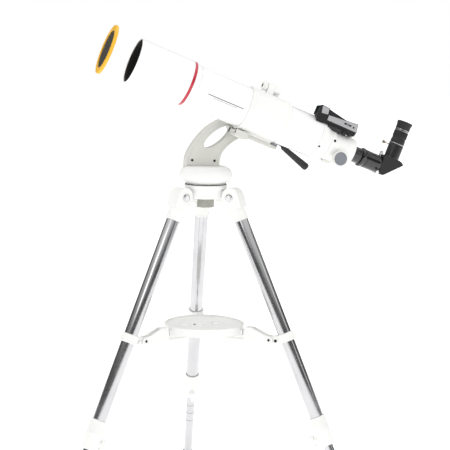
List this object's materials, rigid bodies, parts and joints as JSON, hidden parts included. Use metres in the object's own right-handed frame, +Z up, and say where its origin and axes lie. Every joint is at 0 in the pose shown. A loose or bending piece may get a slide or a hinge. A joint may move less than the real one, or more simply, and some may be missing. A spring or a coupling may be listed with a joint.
{
  "type": "refractor telescope on a tripod",
  "caption": "Small refractor telescope on a single-arm alt-azimuth mount and folding steel tripod, with finder, diagonal, eyepiece and solar filter.",
  "frame": {"origin": "on the floor, at the centre of the object's box", "axes": "+Z up; the tube's front points towards -X and up, the arm stands on the +Y side of the tube"},
  "size_m": [0.8856, 0.6897, 1.1646],
  "materials": {
    "off_white_plastic": "satin moulded",
    "warm_white_plastic": "satin moulded",
    "bar_aluminium": "satin paint",
    "tube_aluminium": "gloss white paint",
    "shield_white": "gloss white, black inside the shield",
    "red_band": "gloss",
    "lens_glass": "coated, polished",
    "leg_steel": "bright polished",
    "foot_rubber": "matt",
    "grip_rubber": "matt, ribbed",
    "rod_steel": "black",
    "knob_grey": "satin",
    "black_plastic": "satin",
    "gloss_black": "gloss",
    "draw_aluminium": "gloss black",
    "screw_chrome": "polished",
    "mirror_glass": "polished",
    "filter_card": "satin amber",
    "filter_foil": "dark reflecting film"
  },
  "bodies": {
    "hub": {"tripod_hub": "off_white_plastic"},
    "tray": {"accessory_tray": "off_white_plastic"},
    "azimuth_head": {"azimuth_disc": "off_white_plastic", "mount_arm": "warm_white_plastic"},
    "azimuth_knob": {"azimuth_knob": "knob_grey"},
    "tube": {"dovetail_saddle": "warm_white_plastic", "handle_rod": "rod_steel", "handle_grip": "grip_rubber", "dovetail_bar": "bar_aluminium", "tube_ring_near": "off_white_plastic", "tube_ring_far": "off_white_plastic", "main_tube": "tube_aluminium", "dew_shield": "shield_white", "red_band": "red_band", "lens_cell": "shield_white", "objective_lens": "lens_glass", "rear_cell": "off_white_plastic", "focuser_body": "off_white_plastic", "finder_bracket": "black_plastic", "finder_body": "black_plastic", "finder_window": "lens_glass"},
    "altitude_knob": {"altitude_knob": "warm_white_plastic"},
    "saddle_knob": {"saddle_knob": "black_plastic"},
    "ring_knob": {"ring_knob": "off_white_plastic"},
    "solar_filter": {"solar_filter_ring": "filter_card", "solar_filter_foil": "filter_foil"},
    "focus_wheel": {"focus_shaft": "screw_chrome", "focus_knob_near": "knob_grey", "focus_knob_far": "knob_grey"},
    "drawtube": {"drawtube": "draw_aluminium", "diagonal_holder": "gloss_black"},
    "holder_screw": {"holder_screw": "screw_chrome"},
    "diagonal": {"diagonal_body": "gloss_black", "diagonal_mirror": "mirror_glass"},
    "eyepiece": {"eyepiece": "black_plastic"},
    "eyepiece_screw": {"eyepiece_screw": "screw_chrome"},
    "back_leg": {"back_leg_head": "off_white_plastic", "back_upper_tube": "leg_steel", "back_spreader_clamp": "off_white_plastic", "back_lock_collar": "off_white_plastic"},
    "back_lower_leg": {"back_lower_tube": "leg_steel", "back_foot": "foot_rubber"},
    "back_spreader": {"back_spreader_arm": "off_white_plastic"},
    "back_lock_knob": {"back_lock_knob": "off_white_plastic"},
    "left_leg": {"left_leg_head": "off_white_plastic", "left_upper_tube": "leg_steel", "left_spreader_clamp": "off_white_plastic", "left_lock_collar": "off_white_plastic"},
    "left_lower_leg": {"left_lower_tube": "leg_steel", "left_foot": "foot_rubber"},
    "left_spreader": {"left_spreader_arm": "off_white_plastic"},
    "left_lock_knob": {"left_lock_knob": "off_white_plastic"},
    "right_leg": {"right_leg_head": "off_white_plastic", "right_upper_tube": "leg_steel", "right_spreader_clamp": "off_white_plastic", "right_lock_collar": "off_white_plastic"},
    "right_lower_leg": {"right_lower_tube": "leg_steel", "right_foot": "foot_rubber"},
    "right_spreader": {"right_spreader_arm": "off_white_plastic"},
    "right_lock_knob": {"right_lock_knob": "off_white_plastic"}
  },
  "joints": [
    {"name": "back_leg_fold", "type": "hinge", "parent": "hub", "child": "back_leg", "pos_m": [-0.04354, -0.00243, 0.7765], "axis": [-0.9866, 0.1633, 0], "range_deg": [0, 9]},
    {"name": "back_spreader_fold", "type": "hinge", "parent": "back_leg", "child": "back_spreader", "pos_m": [-0.02695, 0.09778, 0.45151], "axis": [-0.9866, 0.1633, 0], "range_deg": [0, 49]},
    {"name": "back_leg_extension", "type": "slide", "parent": "back_leg", "child": "back_lower_leg", "axis": [0.0664, 0.4013, -0.9135], "range_m": [-0.16, 0.24]},
    {"name": "back_lock_turn", "type": "hinge", "parent": "back_leg", "child": "back_lock_knob", "pos_m": [-0.00421, 0.23513, 0.23568], "axis": [0.1492, 0.9013, 0.4067], "continuous": true},
    {"name": "left_leg_fold", "type": "hinge", "parent": "hub", "child": "left_leg", "pos_m": [-0.11764, -0.09263, 0.7765], "axis": [0.3518, -0.9361, 0], "range_deg": [0, 9]},
    {"name": "left_spreader_fold", "type": "hinge", "parent": "left_leg", "child": "left_spreader", "pos_m": [-0.21271, -0.12837, 0.45151], "axis": [0.3518, -0.9361, 0], "range_deg": [0, 49]},
    {"name": "left_leg_extension", "type": "slide", "parent": "left_leg", "child": "left_lower_leg", "axis": [-0.3807, -0.1431, -0.9135], "range_m": [-0.16, 0.24]},
    {"name": "left_lock_turn", "type": "hinge", "parent": "left_leg", "child": "left_lock_knob", "pos_m": [-0.34303, -0.17735, 0.23568], "axis": [-0.8551, -0.3214, 0.4067], "continuous": true},
    {"name": "right_leg_fold", "type": "hinge", "parent": "hub", "child": "right_leg", "pos_m": [-0.00247, -0.1117, 0.7765], "axis": [0.6347, 0.7727, 0], "range_deg": [0, 9]},
    {"name": "right_spreader_fold", "type": "hinge", "parent": "right_leg", "child": "right_spreader", "pos_m": [0.07601, -0.17617, 0.45151], "axis": [0.6347, 0.7727, 0], "range_deg": [0, 49]},
    {"name": "right_leg_extension", "type": "slide", "parent": "right_leg", "child": "right_lower_leg", "axis": [0.3143, -0.2582, -0.9135], "range_m": [-0.16, 0.24]},
    {"name": "right_lock_turn", "type": "hinge", "parent": "right_leg", "child": "right_lock_knob", "pos_m": [0.1836, -0.26454, 0.23568], "axis": [0.7059, -0.5799, 0.4067], "continuous": true},
    {"name": "tray_lift", "type": "slide", "parent": "hub", "child": "tray", "axis": [0, 0, 1], "range_m": [0, 0.1045]},
    {"name": "azimuth", "type": "hinge", "parent": "hub", "child": "azimuth_head", "pos_m": [-0.05455, -0.06892, 0.7765], "axis": [0, 0, 1], "continuous": true},
    {"name": "azimuth_lock", "type": "hinge", "parent": "azimuth_head", "child": "azimuth_knob", "pos_m": [-0.05455, -0.06892, 0.7765], "axis": [0, 0, 1], "continuous": true},
    {"name": "altitude", "type": "hinge", "parent": "azimuth_head", "child": "tube", "pos_m": [0.02545, -0.06892, 0.9369], "axis": [0, 1, 0], "range_deg": [-36, 58]},
    {"name": "altitude_lock", "type": "hinge", "parent": "tube", "child": "altitude_knob", "pos_m": [0.02545, -0.06892, 0.9369], "axis": [0, 1, 0], "continuous": true},
    {"name": "saddle_lock", "type": "hinge", "parent": "tube", "child": "saddle_knob", "pos_m": [-0.00027, -0.12692, 0.93011], "axis": [0, 1, 0], "continuous": true},
    {"name": "ring_lock", "type": "hinge", "parent": "tube", "child": "ring_knob", "pos_m": [0.07504, -0.12692, 1.0304], "axis": [0.9295, 0, -0.3689], "continuous": true},
    {"name": "solar_filter_off", "type": "slide", "parent": "tube", "child": "solar_filter", "axis": [0.9295, 0, -0.3689], "range_m": [-0.03, 0.0627]},
    {"name": "focus", "type": "slide", "parent": "tube", "child": "drawtube", "axis": [0.9295, 0, -0.3689], "range_m": [-0.022, 0.065]},
    {"name": "focus_turn", "type": "hinge", "parent": "tube", "child": "focus_wheel", "pos_m": [0.23907, -0.12692, 0.869], "axis": [0, 1, 0], "range_deg": [-212, 622]},
    {"name": "holder_screw_turn", "type": "hinge", "parent": "drawtube", "child": "holder_screw", "pos_m": [0.34746, -0.12692, 0.85341], "axis": [0.3633, -0.1736, 0.9153], "continuous": true},
    {"name": "diagonal_turn", "type": "hinge", "parent": "drawtube", "child": "diagonal", "pos_m": [0.33027, -0.12692, 0.86023], "axis": [0.9295, 0, -0.3689], "range_deg": [-90, 90]},
    {"name": "eyepiece_out", "type": "slide", "parent": "diagonal", "child": "eyepiece", "axis": [0.3689, 0, 0.9295], "range_m": [0, 0.045]},
    {"name": "eyepiece_screw_turn", "type": "hinge", "parent": "diagonal", "child": "eyepiece_screw", "pos_m": [0.38039, -0.12692, 0.89951], "axis": [0.9295, 0, -0.3689], "continuous": true}
  ],
  "couplings": [
    {"joint": "back_spreader_fold", "follows": "back_leg_fold", "ratio": 5.4},
    {"joint": "left_leg_fold", "follows": "back_leg_fold", "ratio": 1},
    {"joint": "left_spreader_fold", "follows": "back_leg_fold", "ratio": 5.4},
    {"joint": "right_leg_fold", "follows": "back_leg_fold", "ratio": 1},
    {"joint": "right_spreader_fold", "follows": "back_leg_fold", "ratio": 5.4},
    {"joint": "tray_lift", "follows": "back_leg_fold", "m_per_rad": 0.66},
    {"joint": "focus_turn", "follows": "focus", "rad_per_m": 166.67}
  ]
}
